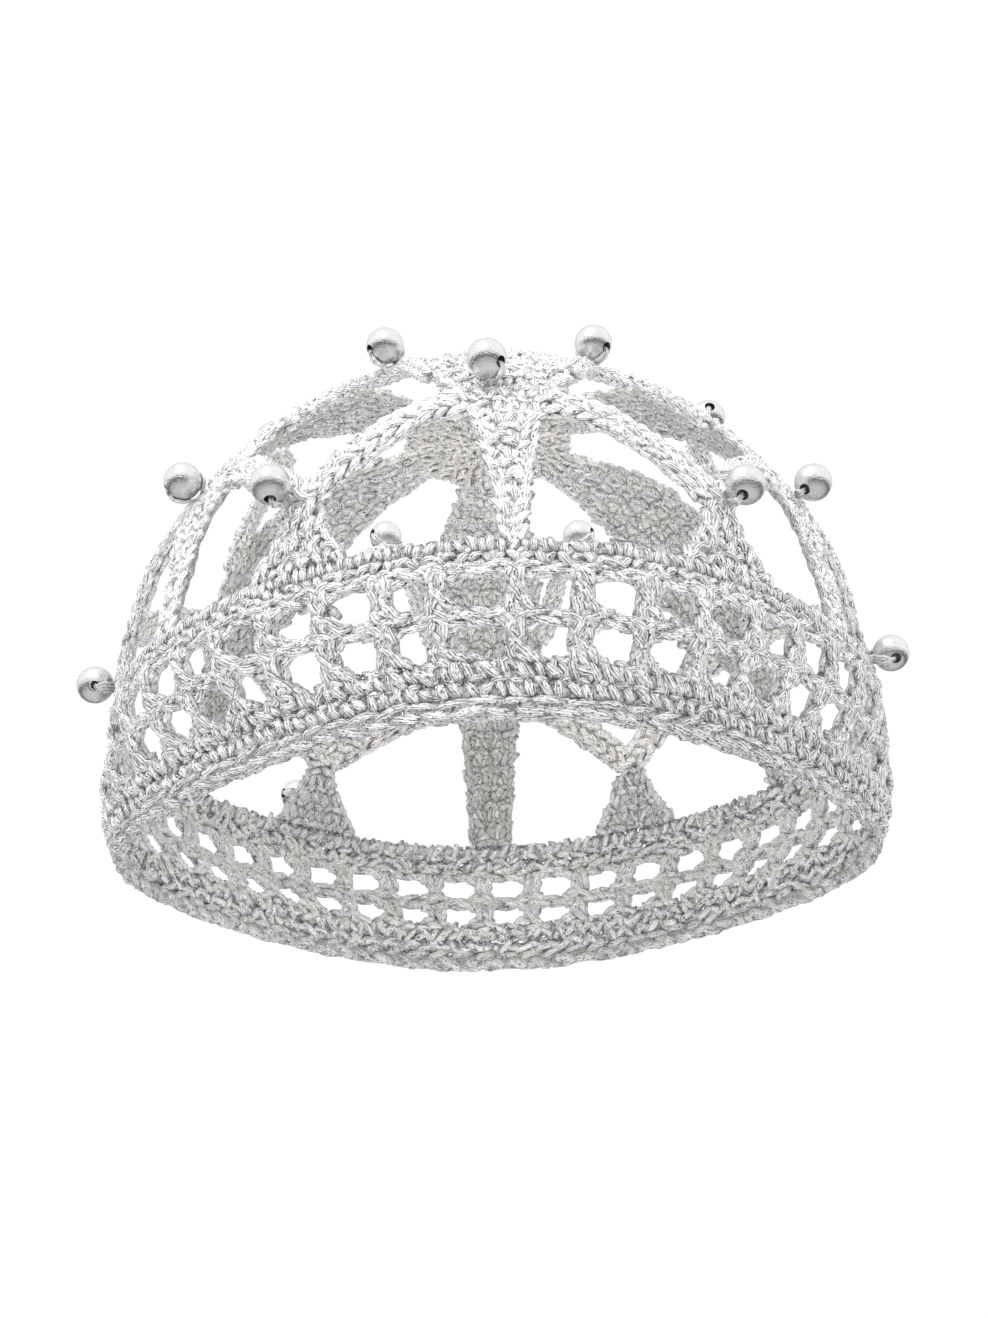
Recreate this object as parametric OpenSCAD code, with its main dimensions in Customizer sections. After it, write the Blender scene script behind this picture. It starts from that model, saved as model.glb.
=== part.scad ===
// Crocheted openwork skull cap with drilled beads, in the shape it has when worn.
// Millimetres, Z up, the wearer's front towards -Y. The origin is the middle of the
// opening at the lower edge, where the cap sits on a head.
//
// Every piece lies on one dome. A place on the dome is an azimuth in degrees, 0 at the
// front and growing towards +X, and a level. A level counts the rings of the profile
// table, so level 4.5 is half-way between the top of the band and the tips of the peaks.

/* [Cap] */
// Front-to-back size divided by side-to-side size
front_back_ratio = 1.08; // [1.0:0.01:1.15]
// Thickness of the crocheted fabric
fabric_t = 3.2; // [2.4:0.1:3.6]
// Gap between neighbouring pieces
piece_gap = 0.3; // [0.2:0.05:0.4]
// Gap at the ends of the arches, measured along the dome
seat_gap = 0.5; // [0.4:0.05:0.7]

/* [Band] */
// Windows between one petal and the next, in each of the two rows
windows_per_repeat = 7; // [6:1:8]
// Width of a post between two windows
post_w = 3.9; // [3:0.1:5]
// Height of the chain between the two rows of windows
chain_h = 2.6; // [2:0.1:3.4]
// Length cut off at each corner of a window
window_corner = 1.8; // [1:0.1:2.4]
// Height of the braided edging along the lower edge
edging_h = 4.0; // [3.4:0.1:4.4]
// Depth of the groove between two solid rows
row_groove = 0.7; // [0.3:0.1:1]

/* [Peaks and arches] */
// Half the width of a peak at its foot
peak_foot = 12.5; // [10:0.5:14]
// Width of a lower arch where it rests on a peak
lower_arch_w = 6.2; // [5:0.1:7]
// Width of a lower arch at a petal
lower_arch_end_w = 7.8; // [6:0.1:8.6]
// Width of an upper arch
upper_arch_w = 4.8; // [4:0.1:5.6]
// Thickness of both kinds of arch
arch_t = 4.0; // [3.2:0.1:4.4]

/* [Beads] */
// Diameter of a bead
bead_d = 8.2; // [7.6:0.1:8.4]
// Diameter of the hole drilled through a bead
bead_bore_d = 2.4; // [1.6:0.1:3]

/* [Hidden] */
REPEATS = 6;
COUNT = [1:REPEATS];
function names(word) = [for (i = COUNT) str(word, "_", i)];

YARN_COLOUR = [0.80, 0.80, 0.81];
EDGING_COLOUR = [0.74, 0.75, 0.77];
BEAD_COLOUR = [0.62, 0.64, 0.68];

// Rings of the dome at mid thickness: radius, height, what the two sides add to the
// radius where the worn band bulges over the ears, share drawn in on the diagonals
rings = [
    [79.7, 0, 3, 0.065],       // 0 lower edge
    [80.4, 11, 5.3, 0.045],    // 1 foot of the lower windows
    [84.0, 18.5, 1.5, 0.03],   // 2 chain between the windows
    [86.3, 26, -2.5, 0.03],    // 3 head of the upper windows
    [84.2, 34.5, -0.6, 0.03],  // 4 top of the band
    [81.5, 49.5, 0.3, 0.03],   // 5 tips of the peaks
    [76.8, 65.1, 0, 0.03],     // 6 shoulders of the petals
    [64.4, 84.4, 0, 0.03],     // 7 wide heads of the petals
    [46.8, 98.2, 0, 0.03],     // 8 tips of the upper arches
    [24.3, 104.3, 0, 0.03],    // 9 upper ends of the petals
    [0, 105.3, 0, 0.03]];      // 10 middle of the crown
// The larger this is, the closer the bulge keeps to the ears
SIDE_SHARPNESS = 24;
foot_level = 1;
chain_level = 2;
head_level = 3;
band_top_level = 4;
pole_level = len(rings) - 1;

// Solid rows of the band: level, share of the full thickness (1 on a row, 0 in a groove)
edging_levels = edging_h / 11;
lower_rows = [[edging_levels + 0.03, 0.4], [0.54, 1], [0.70, 0], [0.87, 1]];
upper_rows = [[3.12, 1], [3.27, 0], [3.45, 1], [3.63, 0], [3.82, 1], [3.985, 0.4]];

// One post stands out of line, as in the worked piece: post number, degrees
moved_post = [REPEATS * windows_per_repeat - 1, -1.3];

// Petals: azimuth, half the width of the foot
petals = [[0, 2.4], [57.5, 3.2], [120, 3.6], [178.5, 5.6], [240, 3.6], [302.5, 3.2]];
// Outline of a narrow-footed petal: level, half width
petal_outline = [[4.02, 2.4], [4.35, 2.8], [4.85, 3.9], [5.4, 5.2], [5.9, 6.5], [6.46, 10.5],
    [6.73, 14], [7.3, 14], [8.0, 13.5], [8.6, 9.4], [9.2, 6.2]];
petal_wide_level = 6.46;

// Peaks: azimuth
peaks = [32, 84.5, 151.5, 212, 276, 329.7];
// Outline of a peak: level, share of the foot's half width
peak_outline = [[4.02, 1], [4.2, 0.88], [4.45, 0.64], [4.7, 0.44], [4.905, 0.35]];

// Lower arches cross above the peaks: level over a peak, level at a petal
lower_arch_levels = [5.13, 6.25];
// Upper arches: level at a petal, level at the tip
upper_arch_levels = [6.95, 7.95];
// Tips of the upper arches: azimuth, height above the dome
arch_tips = [[26.5, 0], [80.5, 3.5], [150, 0], [210, 0], [276, 0], [331, 0]];
// Width of an upper arch along the side of a petal, which it meets at a slant
upper_arch_seat_w = 7;
crown_round_level = 9.215;

// Beads: azimuth, level, stand-off from the seat, then the way the bore faces:
// degrees round from the front, degrees above the horizontal
peak_beads = [[34, 5.17, 0, -29, -56], [81, 4.55, 0.3, 5, -40], [153, 4.62, 0, 60, 0],
    [214, 4.62, 0, 120, 0], [276.3, 4.3, 0, 3, -26], [326.6, 5.2, 0, 7, -76]];
petal_beads = [[-2.7, 6.56, 0, 52, -30], [59, 6.15, 0.3, -52, -41], [120, 6.4, 0, 30, 0],
    [178.5, 6.5, 0, 90, 0], [240, 6.4, 0, -30, 0], [298.5, 6.32, 0, -90, -30]];
arch_beads = [[26.7, 8.03, 0, 54, -34], [80.5, 7.95, 0, 0, 10], [150, 7.95, 0, 60, 0],
    [210, 7.95, 0, -60, 0], [276, 7.95, 0, 0, 10], [331, 7.95, 0, -69, -27]];

// The dome

// Ring i, carried past the lower edge and over the pole
function ring_at(i) =
    i < 0 ? 2 * rings[0] - rings[1] :
    i > pole_level ? let(r = rings[2 * pole_level - i]) [-r[0], r[1], r[2], r[3]] :
    rings[i];

// Smooth curve through four neighbouring rings, and its slope
function curve(a, b, c, d, t) =
    (2 * b + (c - a) * t + (2 * a - 5 * b + 4 * c - d) * t * t
        + (3 * b - a - 3 * c + d) * t * t * t) / 2;
function curve_slope(a, b, c, d, t) =
    ((c - a) + 2 * (2 * a - 5 * b + 4 * c - d) * t + 3 * (3 * b - a - 3 * c + d) * t * t) / 2;
function span(level) = min(floor(level), pole_level - 1);
function profile(level) = let(i = span(level))
    curve(ring_at(i - 1), ring_at(i), ring_at(i + 1), ring_at(i + 2), level - i);
function profile_slope(level) = let(i = span(level))
    curve_slope(ring_at(i - 1), ring_at(i), ring_at(i + 1), ring_at(i + 2), level - i);

// Radius and height, or their slope, of a row of the profile in one direction
function section_at(az, row) = [row[0] + row[2] * pow(abs(sin(az)), SIDE_SHARPNESS), row[1]];

// Point at an azimuth and a level, the given distance outside the middle of the fabric
function dome(az, level, out = 0) =
    let(row = profile(level), s = section_at(az, profile_slope(level)),
        p = section_at(az, row) + out * [s[1], -s[0]] / norm(s),
        radius = p[0] * (1 - row[3] * (1 - cos(4 * az)) / 2))
    [radius * sin(az), -radius * front_back_ratio * cos(az), p[1]];

// Millimetres in one degree of azimuth, and in one level
function degree_mm(az, level) = norm(dome(az + 0.5, level) - dome(az - 0.5, level));
function level_mm(level) = let(s = profile_slope(level)) norm([s[0], s[1]]);
function unit(v) = v / norm(v);

// Solids made of sections

// Faces of a solid whose sections are loops of n points, opposite points being i and n - i
function side_faces(sections, n, closed) =
    [for (s = [0:sections - (closed ? 1 : 2)], i = [0:n - 1])
        let(a = s * n + i, b = s * n + (i + 1) % n,
            up = ((s + 1) % sections) * n, c = up + (i + 1) % n, d = up + i)
        each [[a, b, c], [a, c, d]]];
function end_faces(start, n) = let(q = n / 2)
    concat([[start, start + n - 1, start + 1]],
        [for (i = [1:q - 2]) each [
            [start + i, start + n - i - 1, start + i + 1],
            [start + i, start + n - i, start + n - i - 1]]],
        [[start + q - 1, start + q + 1, start + q]]);
function turned(faces) = [for (f = faces) [f[2], f[1], f[0]]];

module skin(loops, closed = false) {
    n = len(loops[0]);
    sides = side_faces(len(loops), n, closed);
    ends = closed ? [] : concat(end_faces(0, n), turned(end_faces((len(loops) - 1) * n, n)));
    polyhedron([for (l = loops) each l], concat(sides, ends), convexity = 10);
}

// Flat piece of fabric: rows of level and half width in millimetres about an azimuth
across = [-0.94, -0.5, 0, 0.5, 0.94];
function fabric_loop(az, level, half) =
    let(turn = half / degree_mm(az, level), h = fabric_t / 2)
    concat([dome(az - turn, level)],
        [for (u = across) dome(az + u * turn, level, h)],
        [dome(az + turn, level)],
        [for (u = across) dome(az - u * turn, level, -h)]);

module fabric_piece(az, outline) {
    skin([for (row = outline) fabric_loop(az, row[0], row[1])]);
}

// Sections of a crocheted cord along places given as azimuth, level, height and width
CORD_SIDES = 8;
function cord_loops(route, closed = false) = let(
    last = len(route) - 1,
    centres = [for (p = route) dome(p[0], p[1], p[2])])
    [for (i = [0:last]) let(
        p = route[i],
        before = closed ? (i + last) % (last + 1) : max(i - 1, 0),
        after = closed ? (i + 1) % (last + 1) : min(i + 1, last),
        along = unit(centres[after] - centres[before]),
        out = unit(dome(p[0], p[1], p[2] + 1) - centres[i]),
        down = unit(cross(along, out)))
        [for (k = [0:CORD_SIDES - 1]) let(turn = 360 * k / CORD_SIDES)
            centres[i] + down * cos(turn) * p[3] / 2 + out * sin(turn) * arch_t / 2]];

// Braided edging

EDGING_STEPS = 84;
module rim_edging() {
    color(EDGING_COLOUR)
    skin(cord_loops([for (i = [0:EDGING_STEPS - 1])
        [360 * i / EDGING_STEPS, edging_levels / 2, 0, edging_h - piece_gap]], closed = true),
        closed = true);
}

// Openwork band

posts = REPEATS * windows_per_repeat;
function post_az(k) = let(i = k % posts)
    360 / posts * k + (i == moved_post[0] ? moved_post[1] : 0);

// Window as an octagon, round from its left side: azimuth and level of each corner
function window(k, low, high) =
    let(post = post_w / 2 / degree_mm(0, head_level), side = window_corner / degree_mm(0, head_level),
        rise = window_corner / level_mm(chain_level),
        left = post_az(k) + post, right = post_az(k + 1) - post)
    [[left, low + rise], [left + side, low], [right - side, low], [right, low + rise],
        [right, high - rise], [right - side, high], [left + side, high], [left, high - rise]];

// Half thickness of a solid row with a share from the tables of rows
function row_half(share) = fabric_t / 2 - row_groove * (1 - share);

// Points of one column on one face: the row lines at its post, then its two windows
low_lines = len(lower_rows);
row_lines = concat(lower_rows, [[chain_level, 1]], upper_rows);
chain_line = low_lines;
line_count = len(row_lines);
column_points = line_count + 16;
chain_half = chain_h / 2 / level_mm(chain_level);
function column(k, face) = concat(
    [for (line = row_lines) dome(post_az(k), line[0], face * row_half(line[1]))],
    [for (w = window(k, foot_level, chain_level - chain_half)) dome(w[0], w[1], face * fabric_t / 2)],
    [for (w = window(k, chain_level + chain_half, head_level)) dome(w[0], w[1], face * fabric_t / 2)]);

// Faces between two row lines, and round a window whose points start at place w
function line_faces(a, b, low, high) = [
    [a + low, b + low, b + high], [a + low, b + high, a + high]];
function window_frame(a, b, low, high, w) =
    let(bl = a + low, br = b + low, tr = b + high, tl = a + high, o = a + w)
    [[bl, o + 1, o], [bl, br, o + 2], [bl, o + 2, o + 1], [br, o + 3, o + 2],
        [br, tr, o + 4], [br, o + 4, o + 3], [tr, o + 5, o + 4], [tr, tl, o + 6],
        [tr, o + 6, o + 5], [tl, o + 7, o + 6], [tl, bl, o], [tl, o, o + 7]];
function window_wall(o, inner) =
    [for (i = [0:7]) let(j = (i + 1) % 8)
        each [[o + i, o + j, inner + j], [o + i, inner + j, inner + i]]];
function column_faces(k, face) =
    let(a = (face * posts + k) * column_points, b = (face * posts + (k + 1) % posts) * column_points)
    concat(
        [for (i = [0:low_lines - 2]) each line_faces(a, b, i, i + 1)],
        window_frame(a, b, chain_line - 1, chain_line, line_count),
        window_frame(a, b, chain_line, chain_line + 1, line_count + 8),
        [for (i = [chain_line + 1:line_count - 2]) each line_faces(a, b, i, i + 1)]);
function edge_faces(k) =
    let(a = k * column_points, b = ((k + 1) % posts) * column_points, in = posts * column_points,
        top = line_count - 1)
    [[b, a, a + in], [b, a + in, b + in],
        [a + top, b + top, b + top + in], [a + top, b + top + in, a + top + in]];

module net_band() {
    outer = [for (k = [0:posts - 1]) each column(k, 1)];
    inner = [for (k = [0:posts - 1]) each column(k, -1)];
    faces = concat(
        [for (k = [0:posts - 1]) each column_faces(k, 0)],
        turned([for (k = [0:posts - 1]) each column_faces(k, 1)]),
        [for (k = [0:posts - 1], w = [0:1]) let(o = k * column_points + line_count + 8 * w)
            each window_wall(o, o + posts * column_points)],
        [for (k = [0:posts - 1]) each edge_faces(k)]);
    color(YARN_COLOUR) polyhedron(concat(outer, inner), turned(faces), convexity = 20);
}

// Peaks, petals and arches

module peak(i) {
    color(YARN_COLOUR)
    fabric_piece(peaks[i], [for (row = peak_outline) [row[0], row[1] * peak_foot]]);
}

// Half width of petal i at a level: a broad foot fades out towards the wide head
function petal_half(i, level) =
    let(extra = petals[i][1] - petal_outline[0][1],
        fade = (petal_wide_level - level) / (petal_wide_level - petal_outline[0][0]))
    lookup(level, petal_outline) + extra * max(0, fade);

module petal(i) {
    color(YARN_COLOUR)
    fabric_piece(petals[i][0], [for (row = petal_outline) [row[0], petal_half(i, row[0])]]);
}

// Azimuth of the seat on petal i: side is 1 on its right, -1 on its left
function seat_az(i, level, side) = let(az = petals[i][0], past = side < 0 && i == 0 ? 360 : 0)
    az + past + side * (petal_half(i, level) + seat_gap) / degree_mm(az, level);

// End section of an arch, cut to follow the side of petal i
function seat_loop(i, level, side, width) =
    [for (k = [0:CORD_SIDES - 1])
        let(turn = 360 * k / CORD_SIDES, l = level - cos(turn) * width / 2 / level_mm(level))
        dome(seat_az(i, l, side), l, sin(turn) * arch_t / 2)];

// Arch from petal i to the next: level and width at its ends, then places between them,
// given as share of the way from the middle to an end, level, height and width
module arch(i, middle, end_level, end_w, places) {
    next = (i + 1) % REPEATS;
    from = seat_az(i, end_level, 1);
    to = seat_az(next, end_level, -1);
    route = [for (p = places) [middle + abs(p[0]) * ((p[0] < 0 ? from : to) - middle), p[1], p[2], p[3]]];
    color(YARN_COLOUR)
    skin(concat([seat_loop(i, end_level, 1, end_w)], cord_loops(route),
        [seat_loop(next, end_level, -1, end_w)]));
}

LOWER_STEPS = [-0.85, -0.65, -0.45, -0.25, -0.1, 0, 0.1, 0.25, 0.45, 0.65, 0.85];
module lower_arch(i) {
    low = lower_arch_levels[0];
    high = lower_arch_levels[1];
    arch(i, peaks[i], high, lower_arch_end_w, [for (t = LOWER_STEPS) let(u = abs(t))
        [t, low + (high - low) * sin(90 * u), 0,
            lower_arch_w + (lower_arch_end_w - lower_arch_w) * u]]);
}

UPPER_STEPS = [-0.68, -0.45, -0.22, 0, 0.22, 0.45, 0.68];
module upper_arch(i) {
    low = upper_arch_levels[0];
    high = upper_arch_levels[1];
    arch(i, arch_tips[i][0], low, upper_arch_seat_w, [for (t = UPPER_STEPS) let(u = 1 - abs(t))
        [t, low + (high - low) * sin(90 * u), arch_tips[i][1] * (1 - cos(180 * u)) / 2, upper_arch_w]]);
}

// Crown round

CROWN_STEPS = 36;
crown_levels = [crown_round_level, 9.5, 9.75];
module crown_round() {
    rows = len(crown_levels);
    face_points = rows * CROWN_STEPS + 1;
    points = [for (h = [fabric_t / 2, -fabric_t / 2]) each concat(
        [for (l = crown_levels, k = [0:CROWN_STEPS - 1]) dome(360 * k / CROWN_STEPS, l, h)],
        [dome(0, pole_level, h)])];
    faces = [for (k = [0:CROWN_STEPS - 1]) let(j = (k + 1) % CROWN_STEPS, pole = face_points - 1)
        each concat(
            [for (r = [0:rows - 2]) let(a = r * CROWN_STEPS, b = a + CROWN_STEPS)
                each [[a + k, a + j, b + j], [a + k, b + j, b + k]]],
            [[(rows - 1) * CROWN_STEPS + k, (rows - 1) * CROWN_STEPS + j, pole]])];
    inner = [for (f = turned(faces)) [for (p = f) p + face_points]];
    edge = [for (k = [0:CROWN_STEPS - 1]) let(j = (k + 1) % CROWN_STEPS)
        each [[j, k, k + face_points], [j, k + face_points, j + face_points]]];
    color(YARN_COLOUR) polyhedron(points, turned(concat(faces, inner, edge)), convexity = 6);
}

// Beads

// Drilled bead at a row of a bead table, on a seat this far outside the dome
module bead(row, seat) {
    centre = dome(row[0], row[1], seat + piece_gap + row[2] + bead_d / 2);
    color(BEAD_COLOUR)
    translate(centre) rotate([90 - row[4], 0, row[3]])
    difference() {
        sphere(d = bead_d, $fn = 64);
        cylinder(d = bead_bore_d, h = bead_d + 2, center = true, $fn = 32);
    }
}

module peak_bead(i) {
    bead(peak_beads[i], peak_beads[i][1] > 5 ? arch_t / 2 : fabric_t / 2);
}

module petal_bead(i) {
    bead(petal_beads[i], fabric_t / 2);
}

module arch_bead(i) {
    bead(arch_beads[i], arch_t / 2 + arch_tips[i][1]);
}

rim_edging();
net_band();
crown_round();
for (i = COUNT) {
    peak(i - 1);
    petal(i - 1);
    lower_arch(i - 1);
    upper_arch(i - 1);
    peak_bead(i - 1);
    petal_bead(i - 1);
    arch_bead(i - 1);
}
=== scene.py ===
import math

import bpy
import numpy as np
from bpy.props import FloatProperty, FloatVectorProperty, IntProperty, PointerProperty
from mathutils import Matrix, Vector


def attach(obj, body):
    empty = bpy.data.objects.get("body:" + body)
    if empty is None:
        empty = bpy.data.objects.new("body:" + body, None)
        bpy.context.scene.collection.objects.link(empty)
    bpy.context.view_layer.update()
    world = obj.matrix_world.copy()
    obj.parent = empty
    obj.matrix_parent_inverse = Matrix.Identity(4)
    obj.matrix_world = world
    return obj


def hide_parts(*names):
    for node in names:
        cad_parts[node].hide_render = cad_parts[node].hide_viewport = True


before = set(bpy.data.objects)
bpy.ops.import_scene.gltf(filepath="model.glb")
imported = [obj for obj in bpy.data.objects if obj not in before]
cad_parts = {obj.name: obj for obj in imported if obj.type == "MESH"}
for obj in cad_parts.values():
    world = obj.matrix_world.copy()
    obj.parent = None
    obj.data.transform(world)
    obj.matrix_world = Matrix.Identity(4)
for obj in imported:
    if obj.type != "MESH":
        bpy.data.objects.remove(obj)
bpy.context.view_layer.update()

bl_info = {
    "name": "Beaded crochet skull cap",
    "version": (1, 0, 0),
    "blender": (4, 5, 0),
    "location": "3D View > Sidebar > Skull cap",
    "description": "Crochet stitches, plated beads and their ties on the cap's solids",
    "category": "Object",
}

MM = 0.001
TINY = 1e-9
BODY = "root"

# The dome that all pieces lie on: one row for each level, in millimetres.
# Columns: radius, height, extra radius at the sides, draw-in on the diagonals
RINGS = np.array([
    [79.7, 0, 3, 0.065], [80.4, 11, 5.3, 0.045], [84, 18.5, 1.5, 0.03],
    [86.3, 26, -2.5, 0.03], [84.2, 34.5, -0.6, 0.03], [81.5, 49.5, 0.3, 0.03],
    [76.8, 65.1, 0, 0.03], [64.4, 84.4, 0, 0.03], [46.8, 98.2, 0, 0.03],
    [24.3, 104.3, 0, 0.03], [0, 105.3, 0, 0.03],
])
FRONT_BACK = 1.08
SIDE_SHARPNESS = 24
POLE = len(RINGS) - 1
# Smallest millimetres in a degree, near the pole, and those round the band
LEAST_DEGREE = 0.05
BAND_DEGREE = 1.45
EDGING_TOP = 4.0
FOOT, CHAIN, HEAD, BAND_TOP = 1, 2, 3, 4
CROWN = 9.215

REPEATS = 6
POSTS = 42
POST_STEP = 360 / POSTS
# The post that stands aside, and by how many degrees
STRAY_POST, STRAY = 41, 1.3

# Petals: azimuth, half width of the foot
PETALS = np.array([[0, 2.4], [57.5, 3.2], [120, 3.6], [178.5, 5.6], [240, 3.6], [302.5, 3.2]])
# Outline of a petal: level, half width
PETAL_OUTLINE = np.array([
    [4.02, 2.4], [4.35, 2.8], [4.85, 3.9], [5.4, 5.2], [5.9, 6.5], [6.46, 10.5],
    [6.73, 14], [7.3, 14], [8.0, 13.5], [8.6, 9.4], [9.2, 6.2],
])
PETAL_WIDE = 6.46
# Peaks: azimuth; outline: level, share of the half foot
PEAKS = np.array([32, 84.5, 151.5, 212, 276, 329.7])
PEAK_FOOT = 12.5
PEAK_OUTLINE = np.array([[4.02, 1], [4.2, 0.88], [4.45, 0.64], [4.7, 0.44], [4.905, 0.35]])
# Arches: level at one end and in the middle; width in the middle and at the seats
LOWER_ARCH = {"low": 5.13, "high": 6.25, "width": 6.2, "seat": 7.8}
UPPER_ARCH = {"low": 6.95, "high": 7.95, "width": 4.8, "seat": 7.0}
# Tips of the upper arches: azimuth, lift
ARCH_TIPS = np.array([[26.5, 0], [80.5, 3.5], [150, 0], [210, 0], [276, 0], [331, 0]])
ARCH_T = 4.0
SEAT_GAP = 0.1
FABRIC_T = 3.2

BEAD_D = 8.2
BEAD_GAP = 0.3
# Beads: azimuth, level, stand-off, turn and tilt of the bore
PEAK_BEADS = np.array([
    [34, 5.17, 0, -29, -56], [81, 4.55, 0.3, 5, -40], [153, 4.62, 0, 60, 0],
    [214, 4.62, 0, 120, 0], [276.3, 4.3, 0, 3, -26], [326.6, 5.2, 0, 7, -76],
])
PETAL_BEADS = np.array([
    [-2.7, 6.56, 0, 52, -30], [59, 6.15, 0.3, -52, -41], [120, 6.4, 0, 30, 0],
    [178.5, 6.5, 0, 90, 0], [240, 6.4, 0, -30, 0], [298.5, 6.32, 0, -90, -30],
])
ARCH_BEADS = np.array([
    [26.7, 8.03, 0, 54, -34], [80.5, 7.95, 0, 0, 10], [150, 7.95, 0, 60, 0],
    [210, 7.95, 0, -60, 0], [276, 7.95, 0, 0, 10], [331, 7.95, 0, -69, -27],
])
# Ties of a bead: plies, half thickness, height over the bead, distance of the plies, and
# where they lie on the way round, as shares of the turn from the bore to the seat
TIE_PLIES = 4
TIE_HALF = 0.31
TIE_LIFT = 0.3
TIE_STEP = 0.5
TIE_TURNS = (0.34, 0.54, 0.76)
# Bundle of yarn in a bore: place along it, half thickness
BUNDLE = np.array([[-1.5, 0.5], [-1.1, 1.0], [0, 1.12], [1.1, 1.0], [1.5, 0.5]])


# The dome

def catmull_rom(a, b, c, d, t):
    """Catmull-Rom curve from b to c, with a before and d after them, and its slope, at t."""
    p, q, r = c - a, 2 * a - 5 * b + 4 * c - d, 3 * b - a - 3 * c + d
    return 0.5 * (2 * b + p * t + q * t**2 + r * t**3), 0.5 * (p + 2 * q * t + 3 * r * t**2)


def profile(level):
    """Curve through the rows of RINGS, and its slope, at each level."""
    rows = np.vstack([2 * RINGS[0] - RINGS[1], RINGS, RINGS[-2] * [-1, 1, 1, 1]])
    level = np.asarray(level, float)
    i = np.clip(np.floor(level).astype(int), 0, POLE - 1)
    return catmull_rom(*(rows[i + k] for k in range(4)), (level - i)[..., None])


def dome(az, level, out=0.0):
    """Point in millimetres: the profile, bulged at the sides, moved out square to the
    fabric, drawn in on the diagonals and turned round an ellipse."""
    turn = np.radians(az)
    row, slope = profile(level)
    side = np.abs(np.sin(turn)) ** SIDE_SHARPNESS
    run = slope[..., 0] + slope[..., 2] * side
    rise = slope[..., 1]
    size = np.hypot(run, rise)
    radius = row[..., 0] + row[..., 2] * side + out * rise / size
    height = row[..., 1] - out * run / size
    radius = radius * (1 - row[..., 3] * (1 - np.cos(4 * turn)) / 2)
    return np.stack(
        [radius * np.sin(turn), -radius * FRONT_BACK * np.cos(turn), height], -1)


_levels = np.linspace(0, POLE, 2001)
_slopes = profile(_levels)[1]
_rise = np.hypot(_slopes[:, 0], _slopes[:, 1])
_lengths = np.concatenate([[0], np.cumsum((_rise[1:] + _rise[:-1]) / 2 * np.diff(_levels))])


def level_of(s):
    """Level at a length s up the fabric from the lower edge, in millimetres."""
    return np.interp(s, _lengths, _levels)


def length_of(level):
    """Length up the fabric from the lower edge to a level."""
    return np.interp(level, _levels, _lengths)


def degree_mm(az, level):
    """Millimetres round the dome in one degree, by the distance of two close points."""
    return np.linalg.norm(dome(az + 0.5, level) - dome(az - 0.5, level), axis=-1)


def on_dome(az, x, s, out):
    """Point x millimetres to the side of an azimuth and s millimetres up the fabric."""
    level = level_of(s)
    return dome(az + x / np.maximum(degree_mm(az, level), LEAST_DEGREE), level, out)


# Strands

# Grades of strand: sides, share of the corners' draw-in, steps along it
GRADES = {
    "long": (8, 1.0, np.array([0, 0.12, 0.34, 0.66, 0.88, 1])),
    "short": (8, 1.0, np.array([0, 0.16, 0.5, 0.84, 1])),
    "light": (6, 1.0, np.array([0, 0.16, 0.5, 0.84, 1])),
    "inner": (5, 0.0, np.array([0, 0.25, 0.75, 1])),
}
LONG_REACH = 4.5
TWIST = 0.3
SLOW_TWIST = 0.22
GROOVE = 0.09
# Start of a strand on the yarn is anywhere along this length
YARN_RUN = 90
# Control points of a stitch: shares of its run, its bow and its dive
ALONG = np.array([-0.5, -1 / 6, 1 / 6, 0.5])
BOWED = np.array([0, 1.33, 1.33, 0])
RAISED = np.array([-1, 0.33, 0.33, -1])
DIVE = 0.6
# Inner stitches dive less and have less painted shade at their ends, by this share
INNER_SHARE = 0.6
# Width of a stitch at its ends, how fast it fills out, and its thickness to its width
THIN_END = 0.62
FILLING = 0.7
FLATNESS = 0.8
# Painted shade: how much darker the ends of a stitch are, and how much darker the rows that lie
# low in the fabric are
END_SHADE = 0.45
LOW_SHADE = 0.5
# Spread of each measure of a loose stitch, in the order of the draws
SPREAD = {"x": 0.13, "s": 0.11, "stretch": 0.08, "swing": 0.12, "width": 0.07, "out": 0.07,
          "bow": 0.12}
# Backings: columns across a flat one, and their random shade
BACKING_COLUMNS = 9
BACKING_CHANCE = 0.4


def unit(v):
    """Vectors made one long."""
    return v / (np.linalg.norm(v, axis=-1, keepdims=True) + TINY)


def part_of(points, yarn, tone, faces):
    """Part of a piece: points, the yarn's coordinates and the tone with its painted shade at
    each, and faces.
    """
    return {"points": points.reshape(-1, 3), "yarn": yarn.reshape(-1, 3),
            "tone": tone.reshape(-1, 3), "faces": faces}


def tube_faces(n, rings, sides):
    """Faces of n closed tubes: quads from ring to ring, and one face at each end."""
    ring = np.arange(sides)
    row = np.arange(rings - 1)[:, None] * sides
    a, b = (row + ring).ravel(), (row + (ring + 1) % sides).ravel()
    quads = np.stack([a, b, b + sides, a + sides], 1)
    ends = np.stack([ring[::-1], ring + (rings - 1) * sides])
    base = (np.arange(n) * rings * sides)[:, None, None]
    return [(base + quads).reshape(-1, 4), (base + ends).reshape(-1, sides)]


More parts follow.
